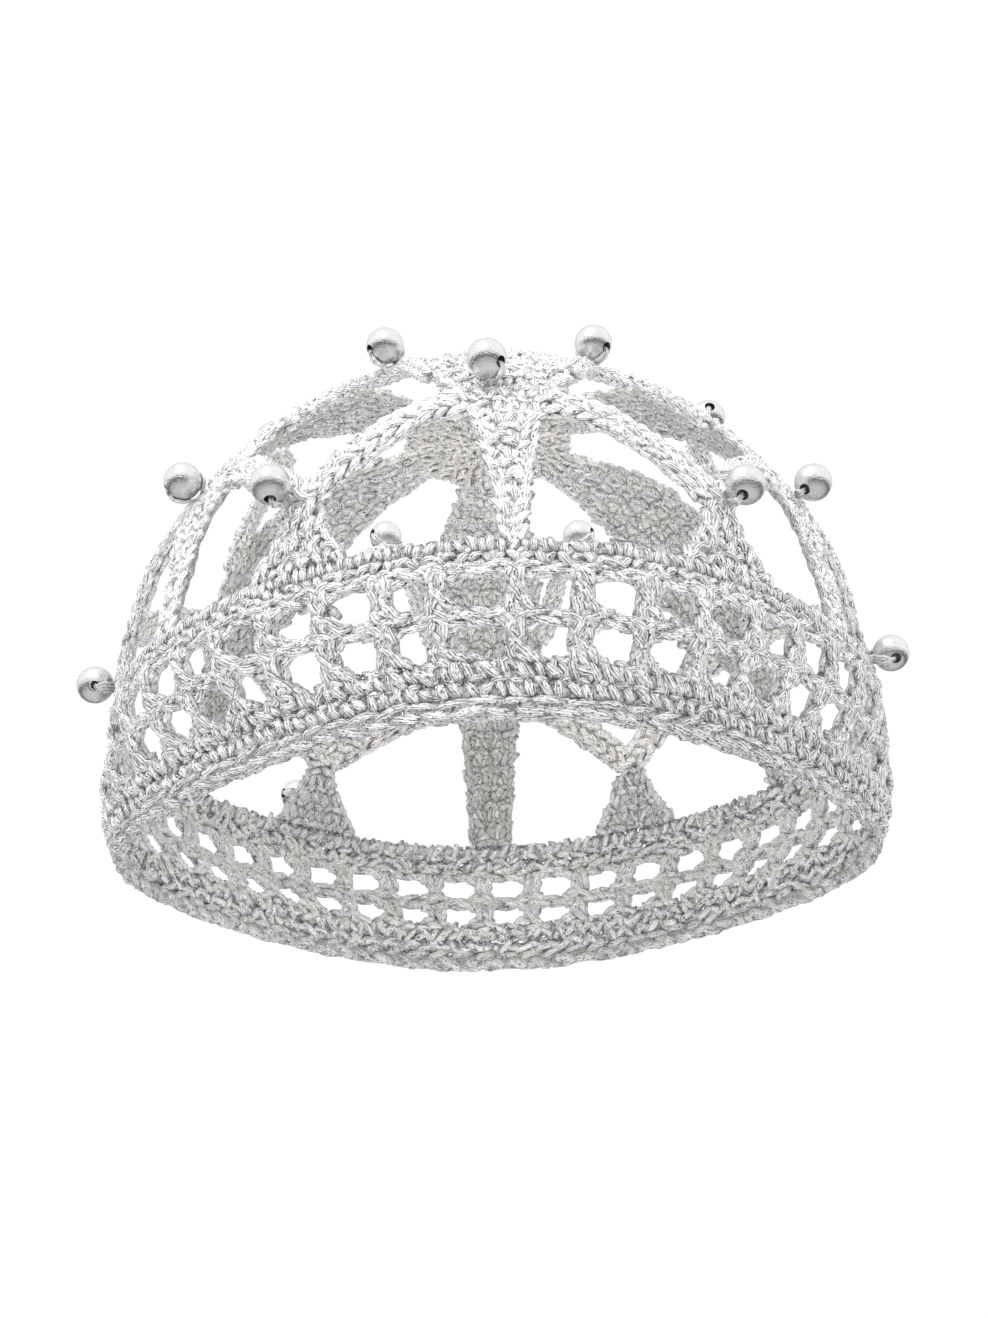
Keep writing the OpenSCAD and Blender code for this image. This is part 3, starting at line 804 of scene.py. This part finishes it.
def arch_path(i, middle, spec, tip_lift, peak_low):
    """Path from the seat on petal i to the seat on the next. The lower arches hang down to
    their peak at the middle, the upper ones rise to a tip."""
    end = spec["high"] if peak_low else spec["low"]
    start, stop = seat_azimuth(i, end, 1), seat_azimuth(i + 1, end, -1)
    stop += 360 if stop < start else 0
    t = np.linspace(-1, 1, ARCH_STEPS)
    az = middle + np.abs(t) * (np.where(t < 0, start, stop) - middle)
    u = np.abs(t) if peak_low else 1 - np.abs(t)
    level = spec["low"] + (spec["high"] - spec["low"]) * np.sin(np.pi / 2 * u)
    lift = tip_lift * (1 - np.cos(np.pi * u)) / 2
    width = spec["width"] + (spec["seat"] - spec["width"]) * np.abs(t) ** 3
    return Path(az, level, lift, width)


def lumps(a):
    """Size of a cord at lengths a, a cosine round one: each stitch stands a little proud."""
    return 1 + LUMP * np.cos(2 * np.pi * a / LUMP_PITCH)


def tracks(path, chart, rng):
    """Tracks of stitches along a path. Chart columns: pitch, start, across as a share of the
    half width, run along and across, width, out, bow."""
    made = []
    for pitch, start, share, da, dc, width, out, bow in chart:
        a = np.arange(start, path.length[-1] + 0.5, pitch)
        c = share * path.at(path.width, a) / 2 * lumps(a)
        # Painted shade at the ends of the stitches
        made.append(lobes(rng, (0, a, c, da, dc), width, out * lumps(a), bow,
                          grade_of(out, math.hypot(da, dc)), ends=0.3, place=path.place))
    return made


def rope(path, rng, pitch, around):
    """Round cord: short bights laid round the path as V stitches, neighbours leaning
    apart, with their middles standing proud."""
    made = []
    for k in range(around):
        a0 = np.arange(0.2 + pitch / 2 * (k % 2), path.length[-1], pitch)
        n = a0.size
        turn = np.full(n, 2 * np.pi * (k + 0.5) / around) + rng.normal(0, 0.08, n)
        angle = turn[:, None] + (1 if k % 2 else -1) * ROPE_TURN * ALONG
        a = a0[:, None] + ROPE_RUN * ALONG + rng.normal(0, 0.2, (n, 1))
        half_w = path.at(path.width, a0)[:, None] / 2 * lumps(a) - 0.72
        half_t = ARCH_T / 2 * lumps(a) - 0.7
        control = path.place(None, a, half_w * ROPE_REACH * np.cos(angle),
                             half_t * ROPE_REACH * np.sin(angle))
        normal = control.mean(1) - path.place(None, a0, np.zeros(n), np.zeros(n))
        # Painted shade: bights under the cord take the inner face's tint, and all are darker
        # towards their ends
        made.append(bights(rng, control, normal[:, None],
                           ROPE_YARN * (1 + rng.normal(0, SPREAD["width"], n)), ROPE_THIN,
                           0.9, "light", 0.8 * (np.sin(turn) < -0.3), 0, 0.2))
    return made


def cord_core(path, share, shade):
    """Plain core inside an arch: an ellipse, a share of the arch's width and thickness, carried
    along the path. It takes part of the inner face's painted shade tint and is darkened by shade
    as painted shade."""
    a = np.linspace(0, path.length[-1], CORE_STEPS)
    half_w = (path.at(path.width, a) / 2 * share)[None]
    tone = tone_rows(np.full(1, BACKING_CHANCE), np.full(1, 0.4), np.full(CORE_STEPS, shade))
    return sweep(path.at(path.centre, a)[None], path.at(path.out, a)[None], half_w,
                 np.full_like(half_w, ARCH_T / 2 * share), 8, tone, np.zeros(1))


# Beads

def smooth_path(points, per_span):
    """Catmull-Rom curve through rows of points, carried straight on past its ends."""
    p = np.concatenate([points[:, :1] * 2 - points[:, 1:2], points,
                        points[:, -1:] * 2 - points[:, -2:-1]], 1)
    t = (np.arange(per_span) / per_span)[None, None, :, None]
    spans = catmull_rom(*(p[:, k:k + points.shape[1] - 1, None] for k in range(4)), t)[0]
    return np.concatenate([spans.reshape(len(points), -1, 3), points[:, -1:]], 1)


def tie_strands(table, seats, rng):
    """Strands that tie the beads, which sit on the fabric at their places: fine plies run
    through the bore, bend out of both ends, lie round the bead by turns from the bore's
    direction to its seat, and spread into the fabric. A short bundle fills each bore. Inside the
    bore the plies and the bundle are darkened as painted shade."""
    az, level, stand_off = table[:, :3].T
    yaw, tilt = np.radians(table[:, 3:].T)
    centre = dome(az, level, seats + BEAD_GAP + stand_off + BEAD_D / 2)
    axis = np.stack([np.sin(yaw) * np.cos(tilt), -np.cos(yaw) * np.cos(tilt), np.sin(tilt)], 1)
    foot = dome(az, level, 0.6)
    down = unit(foot - centre)
    across = unit(np.cross(axis, down))
    radius = BEAD_D / 2 + TIE_LIFT
    n = len(table)
    made = []

    def strand(path, half, sides, painted_shade, bundle=False):
        """One strand at each bead, along its own path."""
        half = np.broadcast_to(half, path.shape[:2])
        tone = tone_rows(rng.random(n), np.zeros(n), painted_shade)
        return sweep(path, np.broadcast_to(across[:, None], path.shape), half, half, sides,
                     tone, np.zeros(n) if bundle else rng.random(n) * YARN_RUN)

    for k in range(TIE_PLIES):
        angle = 2 * np.pi * k / TIE_PLIES
        side = (k - (TIE_PLIES - 1) / 2) * TIE_STEP * across * (1 + 0.3 * rng.random((n, 1)))
        halves = []
        for hole in (-axis, axis):
            facing = (hole * down).sum(1, keepdims=True)
            open_turn = np.arccos(np.clip(facing, -1, 1))
            flat = unit(down - hole * np.cos(open_turn))
            off = 0.3 * np.cos(angle) * across + (0.48 + 0.22 * np.sin(angle)) * flat
            rows = [centre + hole * 2.2 + off, centre + hole * radius * 0.93 + off]
            for turn in (open_turn * share for share in TIE_TURNS):
                rows.append(centre + (radius + 0.12 * k % 0.3)
                            * (hole * np.cos(turn) + flat * np.sin(turn)) + side)
            end = foot + hole * 1.6 - down * facing * 1.6
            rows += [(rows[-1] + end) / 2 + side * 0.4, end + side * 1.5 + down * 0.7]
            halves.append(rows)
        path = smooth_path(np.stack(halves[0][::-1] + halves[1], 1), 3)
        # Painted shade on the plies inside the bore
        painted_shade = np.clip(2 * (radius - np.linalg.norm(path - centre[:, None], axis=2)), 0, 1)
        made.append(strand(path, TIE_HALF, 5, painted_shade))
    # The bundle is darkened all over as painted shade
    path = centre[:, None] + BUNDLE[:, :1] * axis[:, None]
    return made + [strand(path, BUNDLE[:, 1], 8, np.ones(len(BUNDLE)), True)]


# Panel values

def colour(name, description, default):
    """Colour in the panel."""
    return FloatVectorProperty(name=name, description=description, default=default,
                               subtype="COLOR", size=3, min=0, max=1)


def distance(name, description, default):
    """Distance of stitches in the panel, in metres."""
    return FloatProperty(name=name, description=description, default=default, min=0.0012,
                         max=0.004, unit="LENGTH")


class CapLook(bpy.types.PropertyGroup):
    """Colours and measures of the yarn and the beads"""
    light: colour("Yarn light", "Colour of the bright plies", (0.8, 0.805, 0.815))
    # Painted shade in the gaps between the plies
    dark: colour("Yarn dark", "Colour between the plies", (0.25, 0.255, 0.27))
    # Lit copy of the yarn colours for the upper pieces: painted light, brighter where light
    # falls from above
    lit_upper_light: colour("Upper yarn light", "Bright plies of the petals, arches and crown",
                       (0.95, 0.955, 0.96))
    lit_upper_dark: colour("Upper yarn dark", "Between the plies of the petals, arches and crown",
                      (0.36, 0.365, 0.375))
    # Painted shade: the inner face is tinted warmer and darker, as less light reaches it
    inside: colour("Yarn inside", "Tint of the inner face", (0.97, 0.945, 0.915))
    bead: colour("Bead", "Colour of the plating", (0.85, 0.85, 0.86))
    # Share of the flakes painted near black as dark glints, a painted reflection
    dark_glint_share: FloatProperty(name="Specks", description="Share of dark specks in the yarn",
                           default=0.016, min=0, max=1, subtype="FACTOR")
    pitch: distance("Stitch pitch", "Distance of petal stitches in a row", 0.0021)
    rise: distance("Row height", "Distance of petal rows", 0.0024)
    seed: IntProperty(name="Seed", description="Start of the random looseness", default=7,
                      min=0)


LOOK_NAMES = tuple(CapLook.__annotations__)
# First number of each kind of random looseness
DRAWS = {"edging": 1, "foot": 2, "chains": 3, "posts": 5, "head": 7, "peak": 20, "petal": 30,
         "lower_arch": 40, "upper_arch": 50, "crown": 60, "ties": 70, "braids": 80}


def draw(kind, i=0):
    """Random numbers for one piece, the same in each run."""
    return np.random.default_rng([bpy.context.scene.cap_look.seed, DRAWS[kind] + i])


# Operators

def dress(kind, i, made, yarn):
    """Stitches for the solid of a kind with number i + 1."""
    make_mesh(f"{kind}_stitches_{i + 1}", made, material(yarn), [f"{kind}_{i + 1}"])


# Backings of the band's rows: half thickness, painted shade
BAND_BACKING = (0.5, 0.45)
# How loose the band's rows are, and the share of their stitches that is crossed
ROW_LOOSE = 1.8
ROW_CROSSED = 0.13
# The upper chain of the windows lies this much above the head's level
CHAIN_RISE = 1.2


class CAP_OT_edging(bpy.types.Operator):
    """Braided edging round the lower edge"""
    bl_idname = "cap.edging"
    bl_label = "Braided edging"

    def execute(self, context):
        # Painted shade on the edging's outer, low and inner rows, and on its backing
        make_mesh("rim_braid", rounds(EDGING_CHART, draw("edging"), shade=(0.2, 0.5, 0.3))
                  + [ring_backing((0.5, 2.0, 3.4), 0.8, 0.8)],
                  material("silver_edging_yarn"), ["rim_edging"])
        return {"FINISHED"}


class CAP_OT_band(bpy.types.Operator):
    """Openwork band: foot rounds, window chains and posts, head rounds"""
    bl_idname = "cap.band"
    bl_label = "Openwork band"

    def execute(self, context):
        foot, chain, head, top = (length_of(level) for level in (FOOT, CHAIN, HEAD, BAND_TOP))
        upper = head + CHAIN_RISE
        pieces = {
            "foot": rounds(FOOT_CHART, draw("foot"), 0, ROW_LOOSE, crossed=ROW_CROSSED) + [
                ring_backing((EDGING_TOP + 0.3, 5.4, 6.5), *BAND_BACKING),
                ring_backing((8.6, 9.6, foot - 0.5), *BAND_BACKING)],
            "window": rounds(CHAIN_CHART, draw("chains"), chain)
            + rounds(CHAIN_CHART, draw("chains", 1), upper)
            + posts(draw("posts"), foot - 0.4, chain) + posts(draw("posts", 1), chain, upper),
            # Painted shade: the head's outer rows a little darker
            "head": rounds(HEAD_CHART, draw("head"), top - HEAD_END, ROW_LOOSE,
                           (0.11, LOW_SHADE, 0), ROW_CROSSED) + [
                ring_backing((head + 1.6, head + 2.7, head + 3.6), *BAND_BACKING),
                ring_backing((top - 3.2, top - 2.0, top - 0.8), *BAND_BACKING)],
        }
        for name, made in pieces.items():
            make_mesh(f"band_{name}_stitches", made, material("silver_yarn"), ["net_band"])
        return {"FINISHED"}


class CAP_OT_peaks(bpy.types.Operator):
    """Six peaks on the band"""
    bl_idname = "cap.peaks"
    bl_label = "Peaks"

    def execute(self, context):
        low, high = length_of(PEAK_OUTLINE[0, 0]) - 0.4, length_of(PEAK_OUTLINE[-1, 0]) + 1.2
        for i, az in enumerate(PEAKS):
            # Painted shade at the foot of the peaks' inner faces, 0.25 deep
            made = filled(az, peak_half, low, high, 2.2, 2.3, 1.5, draw("peak", i), 2.4, 0.25)
            made += braids(az, peak_half, low + 0.3 * (high - low), high, (-0.5, 0, 0.5),
                           draw("braids", i))
            dress("peak", i, made, "silver_yarn")
        return {"FINISHED"}


class CAP_OT_petals(bpy.types.Operator):
    """Six petals from the band to the crown"""
    bl_idname = "cap.petals"
    bl_label = "Petals"

    def execute(self, context):
        look = context.scene.cap_look
        low, high = length_of(PETAL_OUTLINE[0, 0]) - 0.4, length_of(PETAL_OUTLINE[-1, 0]) + 0.3
        for i, az in enumerate(PETALS[:, 0]):
            made = filled(az, lambda s, i=i: petal_half(i, s), low, high,
                          look.pitch / MM, look.rise / MM, 1.1, draw("petal", i))
            dress("petal", i, made, "lit_upper_silver_yarn")
        return {"FINISHED"}


class CAP_OT_arches(bpy.types.Operator):
    """Lower and upper arches between the petals"""
    bl_idname = "cap.arches"
    bl_label = "Arches"

    def execute(self, context):
        for i in range(REPEATS):
            path = arch_path(i, PEAKS[i], LOWER_ARCH, 0, True)
            made = tracks(path, LOWER_TRACKS, draw("lower_arch", i))
            dress("lower_arch", i, made + [cord_core(path, 0.62, 0.3)], "lit_upper_silver_yarn")
            path = arch_path(i, ARCH_TIPS[i, 0], UPPER_ARCH, ARCH_TIPS[i, 1], False)
            made = rope(path, draw("upper_arch", i), 2.1, 7)
            dress("upper_arch", i, made + [cord_core(path, 0.6, 0.15)], "lit_upper_silver_yarn")
        return {"FINISHED"}


class CAP_OT_crown(bpy.types.Operator):
    """Round that closes the crown"""
    bl_idname = "cap.crown"
    bl_label = "Crown round"

    def execute(self, context):
        rng = draw("crown")
        made = []
        pitch = 2.1
        start, stop = length_of(CROWN), length_of(POLE)
        for j, s in enumerate(np.arange(start + 1.0, stop - 0.5, pitch)):
            n = max(5, int(round(360 * degree_mm(0, level_of(s)) / pitch)))
            k = np.arange(n)
            lean = np.where((k + j) % 2 == 0, 1.5, -1.5)
            # Painted shade at the ends of the stitches
            made += [lobes(rng, (k * 360 / n, 0, s, face * lean, 3.2), 1.9, face * FACE_OUT,
                           grade=grade, loose=1.4, ends=0.1)
                     for face, grade in ((1, "light"), (-1, "inner"))]
        # Painted shade on the crown's backing
        made.append(ring_backing(np.linspace(start + 0.5, stop - 0.8, 6), 0.45, 0.15, 36))
        make_mesh("crown_stitches", made, material("lit_upper_silver_yarn"), ["crown_round"])
        return {"FINISHED"}


class CAP_OT_beads(bpy.types.Operator):
    """Plated beads and the strands that tie them"""
    bl_idname = "cap.beads"
    bl_label = "Beads"

    def execute(self, context):
        plating = material("silver_bead")
        for name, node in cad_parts.items():
            if "_bead_" in name:
                node.data.materials.clear()
                node.data.materials.append(plating)
        half = FABRIC_T / 2
        groups = (
            ("peak", PEAK_BEADS, np.where(PEAK_BEADS[:, 1] > 5, ARCH_T / 2, half)),
            ("petal", PETAL_BEADS, np.full(REPEATS, half)),
            ("arch", ARCH_BEADS, ARCH_T / 2 + ARCH_TIPS[:, 1]),
        )
        for k, (name, table, seats) in enumerate(groups):
            # Ties in the lit copy of the yarn, painted light
            make_mesh(f"{name}_bead_ties", tie_strands(table, seats, draw("ties", k)),
                      material("lit_tie_yarn"))
        return {"FINISHED"}


# Lamps: name, place and target in metres, width, power
LAMPS = (
    ("key_light", (-0.35, -0.65, 1.0), (0, 0.001, 0.05), 0.4, 5.4),
    ("fill_light", (0.3, -0.9, -0.1), (0, 0.001, 0.05), 0.6, 1.0),
    ("under_light", (0.0, -0.05, -0.13), (0, 0.1, 0.02), 0.2, 0.1),
)
# Floor: height and half width in metres, squares along one side
FLOOR_Z = -0.24
FLOOR_HALF = 4.0
FLOOR_SQUARES = 32
# Camera: sensor width; focal length and width of the picture in its dots; rise, turn and
# roll in degrees; height of the point it aims at on the axis, and distance from there
SENSOR = 36
FOCAL_DOTS = 2238
PICTURE_WIDE = 988
CAMERA_TURNS = (23.31, 2.63, 1.55)
AIM_HEIGHT = 0.049
CAMERA_AWAY = 0.5108


def studio_world():
    """Soft studio light. On the fabric falls a product of three ramps: dimmer below the
    horizon, brighter overhead and brighter from the walls at both sides. Mirrors see a
    backdrop that is dark at the horizon, white above and a little dimmer at the rear, and
    the camera sees plain white."""
    world = bpy.data.worlds.new("studio")
    world.use_nodes = True
    tree = world.node_tree
    place = node_of(tree, "TexCoord").outputs["Generated"]
    x, y, z = split(tree, place)
    level = remap(tree, z, -0.3, -0.05, 0.55, 1.1)
    zenith = remap(tree, z, 0.15, 0.9, 1.0, 2.1)
    walls = remap(tree, number(tree, "ABSOLUTE", x), 0.3, 0.9, 0.95, 1.6)
    falling = number(tree, "MULTIPLY", number(tree, "MULTIPLY", level, zenith), walls)
    backdrop = number(tree, "MULTIPLY", remap(tree, z, 0, 0.1, 0.05, 1.1),
                      remap(tree, y, 0.2, 0.9, 1.0, 0.68))
    rays = node_of(tree, "LightPath").outputs
    mirrored = mix(tree, "FLOAT", rays["Is Glossy Ray"], falling, backdrop)
    feed(tree, tree.nodes["Background"].inputs, Color=(1, 1, 1, 1),
         Strength=mix(tree, "FLOAT", rays["Is Camera Ray"], mirrored, 1.05))
    return world


def floor_mesh():
    """Plain floor on an even grid, paler away from the cap so that it meets the backdrop. In
    mirrors it is painted dark, darker away from the cap, as a painted reflection in the beads."""
    u = np.linspace(-FLOOR_HALF, FLOOR_HALF, FLOOR_SQUARES + 1)
    x, y = np.meshgrid(u, u, indexing="ij")
    points = np.stack([x, y, np.full_like(x, FLOOR_Z)], 2).reshape(-1, 3)
    a = np.arange(x.size).reshape(x.shape)[:-1, :-1].ravel()
    side = FLOOR_SQUARES + 1
    mesh = bpy.data.meshes.new("floor")
    mesh.from_pydata(points.tolist(), [],
                     np.stack([a, a + side, a + side + 1, a + 1], 1).tolist())
    paint, tree, shader = painted("pale_floor")
    place = node_of(tree, "TexCoord").outputs["Object"]
    away = node_of(tree, "VectorMath", operation="LENGTH", Vector=place)
    away = away.outputs["Value"]
    fade = remap(tree, away, 0.5, 2.5, 0.87, 0.92, interpolation_type="SMOOTHSTEP")
    # Painted reflection: the floor's colour in mirrors only, dark and darker away from the cap
    mirrored = remap(tree, away, 0.2, 1.3, 0.32, 0.02)
    rays = node_of(tree, "LightPath").outputs
    feed(tree, shader, Roughness=0.8,
         Base_Color=mix(tree, "FLOAT", rays["Is Glossy Ray"], fade, mirrored))
    mesh.materials.append(paint)
    return mesh


def camera_place():
    """Camera of the photograph: rolled, raised and turned, then moved straight back from
    the point in the cap that it aims at."""
    rise, turn, roll = np.radians(CAMERA_TURNS)
    return (Matrix.Translation((0, 0, AIM_HEIGHT)) @ Matrix.Rotation(-turn, 4, "Z")
            @ Matrix.Rotation(math.pi / 2 + rise, 4, "X") @ Matrix.Rotation(-roll, 4, "Z")
            @ Matrix.Translation((0, 0, CAMERA_AWAY)))


class CAP_OT_stage(bpy.types.Operator):
    """Pale floor, soft studio light and the camera"""
    bl_idname = "cap.stage"
    bl_label = "Stage"

    def execute(self, context):
        scene = context.scene
        scene.view_settings.view_transform = "Standard"
        scene.world = studio_world()
        linked("floor", floor_mesh())
        for name, place, target, size, power in LAMPS:
            lamp = bpy.data.lights.new(name, "AREA")
            lamp.shape = "DISK"
            lamp.size = size
            lamp.energy = power
            holder = linked(name, lamp)
            holder.visible_glossy = name == "key_light"
            holder.visible_camera = False
            holder.location = place
            back = Vector(place) - Vector(target)
            holder.rotation_euler = back.to_track_quat("Z", "Y").to_euler()
        lens = bpy.data.cameras.new("camera")
        lens.sensor_fit = "HORIZONTAL"
        lens.sensor_width = SENSOR
        lens.lens = SENSOR * FOCAL_DOTS / PICTURE_WIDE
        lens.clip_start = 0.01
        scene.camera = linked("camera", lens)
        scene.camera.matrix_world = camera_place()
        return {"FINISHED"}


class CAP_PT_panel(bpy.types.Panel):
    """Pieces of the skull cap"""
    bl_idname = "CAP_PT_panel"
    bl_label = "Skull cap"
    bl_space_type = "VIEW_3D"
    bl_region_type = "UI"
    bl_category = "Skull cap"

    def draw(self, context):
        for key in LOOK_NAMES:
            self.layout.prop(context.scene.cap_look, key)
        for operator in OPERATORS:
            self.layout.operator(operator.bl_idname)


OPERATORS = (CAP_OT_stage, CAP_OT_edging, CAP_OT_band, CAP_OT_peaks, CAP_OT_petals,
             CAP_OT_arches, CAP_OT_crown, CAP_OT_beads)
CLASSES = (CapLook, *OPERATORS, CAP_PT_panel)


def register():
    for c in CLASSES:
        bpy.utils.register_class(c)
    bpy.types.Scene.cap_look = PointerProperty(type=CapLook)


def unregister():
    del bpy.types.Scene.cap_look
    for c in reversed(CLASSES):
        bpy.utils.unregister_class(c)


def main():
    register()
    for name in ("stage", "edging", "band", "peaks", "petals", "arches", "crown", "beads"):
        getattr(bpy.ops.cap, name)()
    bpy.context.view_layer.update()


if __name__ == "__main__":
    main()
